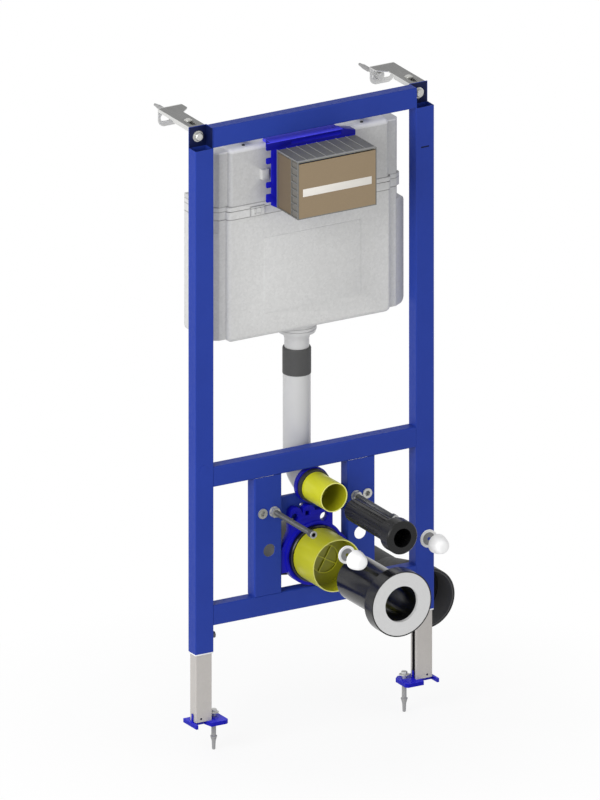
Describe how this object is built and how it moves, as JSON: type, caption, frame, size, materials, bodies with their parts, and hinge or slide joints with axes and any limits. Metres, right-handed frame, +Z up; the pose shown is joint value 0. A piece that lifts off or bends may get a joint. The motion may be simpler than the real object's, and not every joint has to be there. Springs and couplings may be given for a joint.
{
  "type": "wall hung toilet frame",
  "caption": "Steel in-wall frame for a wall hung toilet, with concealed cistern, flush pipe, waste bend, adjustable legs, wall brackets and loose connectors.",
  "frame": {"origin": "back face of the left wall bracket, on the wall's plane, 32.5 mm below the bracket's top", "axes": "+X to the right seen from the front, +Y into the wall, +Z up"},
  "size_m": [0.5975, 0.6485, 1.271],
  "materials": {
    "blue_plastic": "smooth moulded plastic, bright blue",
    "frame_paint": "semi-gloss powder coat, blue",
    "grey_plastic": "moulded plastic, grey",
    "cardboard": "brown board",
    "fixing_steel": "zinc plated",
    "white_plastic": "smooth moulded plastic, white",
    "cistern_foam": "moulded insulation, pale grey",
    "black_plastic": "smooth extruded plastic, black",
    "yellow_plastic": "smooth moulded plastic, yellow green",
    "black_rubber": "matt rubber",
    "galvanised_steel": "galvanised, matt",
    "zinc_sheet": "zinc plated sheet",
    "pale_seal": "soft ring, pale grey"
  },
  "bodies": {
    "frame": {"actuator_base": "blue_plastic", "bottom_rail": "frame_paint", "box_cage": "grey_plastic", "box_core": "cardboard", "bracket_bolts": "fixing_steel", "cap_left": "white_plastic", "cap_right": "white_plastic", "cistern_lower": "cistern_foam", "cistern_upper": "cistern_foam", "clamp_screws": "fixing_steel", "cross_member": "frame_paint", "flush_clamp": "blue_plastic", "flush_connector": "black_plastic", "flush_pipe": "white_plastic", "flush_plug": "yellow_plastic", "flush_seal": "black_rubber", "inner_post_left": "frame_paint", "inner_post_right": "frame_paint", "middle_rail": "frame_paint", "outlet_neck": "white_plastic", "pipe_cuff": "black_rubber", "stud_inserts": "fixing_steel", "stud_left": "fixing_steel", "stud_nuts": "fixing_steel", "stud_right": "fixing_steel", "top_rail": "frame_paint", "upright_left": "frame_paint", "upright_right": "frame_paint", "wall_bracket_left": "zinc_sheet", "wall_bracket_right": "zinc_sheet", "wall_screws": "fixing_steel", "washer_left": "white_plastic", "washer_right": "white_plastic", "waste_bend": "black_plastic", "waste_connector": "black_plastic", "waste_connector_seal": "pale_seal", "waste_holder": "blue_plastic", "waste_plug": "yellow_plastic", "waste_reducer": "black_plastic"},
    "leg_left": {"foot_anchor_left": "fixing_steel", "foot_plate_left": "blue_plastic", "leg_left": "galvanised_steel"},
    "leg_right": {"foot_anchor_right": "fixing_steel", "foot_plate_right": "blue_plastic", "leg_right": "galvanised_steel"}
  },
  "joints": [
    {"name": "leg_left_slide", "type": "slide", "parent": "frame", "child": "leg_left", "axis": [0, 0, -1], "range_m": [-0.115, 0.061]},
    {"name": "leg_right_slide", "type": "slide", "parent": "frame", "child": "leg_right", "axis": [0, 0, -1], "range_m": [-0.115, 0.061]}
  ]
}
